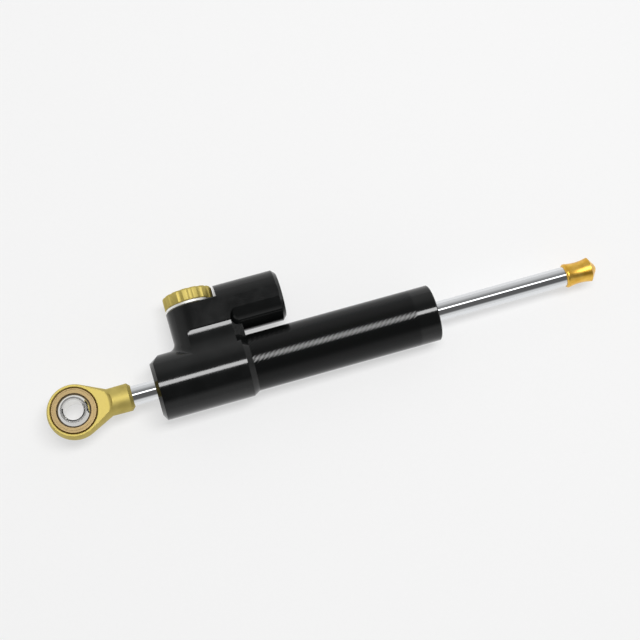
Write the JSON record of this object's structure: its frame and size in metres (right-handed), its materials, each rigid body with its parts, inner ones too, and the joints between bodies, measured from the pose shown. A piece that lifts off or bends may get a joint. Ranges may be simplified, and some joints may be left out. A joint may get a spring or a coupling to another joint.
{
  "type": "motorcycle steering damper",
  "caption": "Linear hydraulic steering damper: black tube with side-mounted adjuster and relief cylinder, through rod with gold spherical rod end and end cap.",
  "frame": {"origin": "centre of the rod end's bolt hole", "axes": "+X along the rod to the capped end, +Y towards the adjuster knob, +Z along the rod end's bolt"},
  "size_m": [0.2296, 0.0475, 0.026],
  "materials": {
    "black_anodised": "black hard-anodised, satin",
    "gold_anodised": "gold anodised, satin",
    "orange_anodised": "orange-gold anodised, polished",
    "hard_chrome": "ground and hard-chromed",
    "bearing_steel": "ground bearing steel",
    "plain_aluminium": "clear anodised, matt",
    "black_plug": "black anodised, turned",
    "zinc_steel": "zinc-plated steel",
    "spring_steel": "phosphated spring steel",
    "bronze": "sintered bronze",
    "copper": "plain copper",
    "seal_rubber": "moulded black rubber",
    "band_plastic": "filled sliding plastic"
  },
  "bodies": {
    "housing": {"head_block": "black_anodised", "cylinder_tube": "black_anodised", "tube_o_ring": "seal_rubber", "front_guide": "plain_aluminium", "front_bush": "bronze", "front_rod_seal": "seal_rubber", "front_wiper": "seal_rubber", "front_guide_o_ring": "seal_rubber", "front_circlip": "spring_steel", "rear_guide": "plain_aluminium", "rear_bush": "bronze", "rear_rod_seal": "seal_rubber", "rear_wiper": "seal_rubber", "rear_guide_o_ring": "seal_rubber", "rear_circlip": "spring_steel", "adjuster_gland": "plain_aluminium", "gland_o_ring": "seal_rubber", "detent_ball": "bearing_steel", "detent_spring": "spring_steel", "relief_spring": "spring_steel", "relief_plug": "black_plug", "relief_plug_o_ring": "seal_rubber", "relief_circlip": "spring_steel", "bleed_screw": "zinc_steel", "bleed_washer": "copper"},
    "band": {"piston_band": "band_plastic"},
    "rod": {"piston_rod": "hard_chrome", "piston": "plain_aluminium", "piston_circlips": "spring_steel", "rod_end_housing": "gold_anodised", "bearing_race": "bearing_steel", "end_cap": "orange_anodised"},
    "ball": {"bearing_ball": "hard_chrome"},
    "adjuster": {"adjuster_knob": "gold_anodised", "index_ring": "plain_aluminium", "adjuster_spindle": "zinc_steel", "spindle_o_rings": "seal_rubber", "knob_screw": "zinc_steel"},
    "relief": {"relief_piston": "plain_aluminium", "relief_piston_o_ring": "seal_rubber"}
  },
  "joints": [
    {"name": "rod_slide", "type": "slide", "parent": "housing", "child": "band", "axis": [1, 0, 0], "range_m": [-0.0558, 0.0091]},
    {"name": "rod_spin", "type": "hinge", "parent": "band", "child": "rod", "pos_m": [0.117, 0, 0], "axis": [1, 0, 0], "continuous": true},
    {"name": "ball_swivel", "type": "hinge", "parent": "rod", "child": "ball", "pos_m": [0, 0, 0], "axis": [0, 0, 1], "continuous": true},
    {"name": "knob_turn", "type": "hinge", "parent": "housing", "child": "adjuster", "pos_m": [0.0547, 0.0282, 0], "axis": [0, 1, 0], "range_deg": [-163.6, 163.6]},
    {"name": "relief_slide", "type": "slide", "parent": "housing", "child": "relief", "axis": [1, 0, 0], "range_m": [0, 0.005], "stiffness_N_per_m": 1500, "springref_m": -0.002, "deforming": ["relief_spring"]}
  ]
}
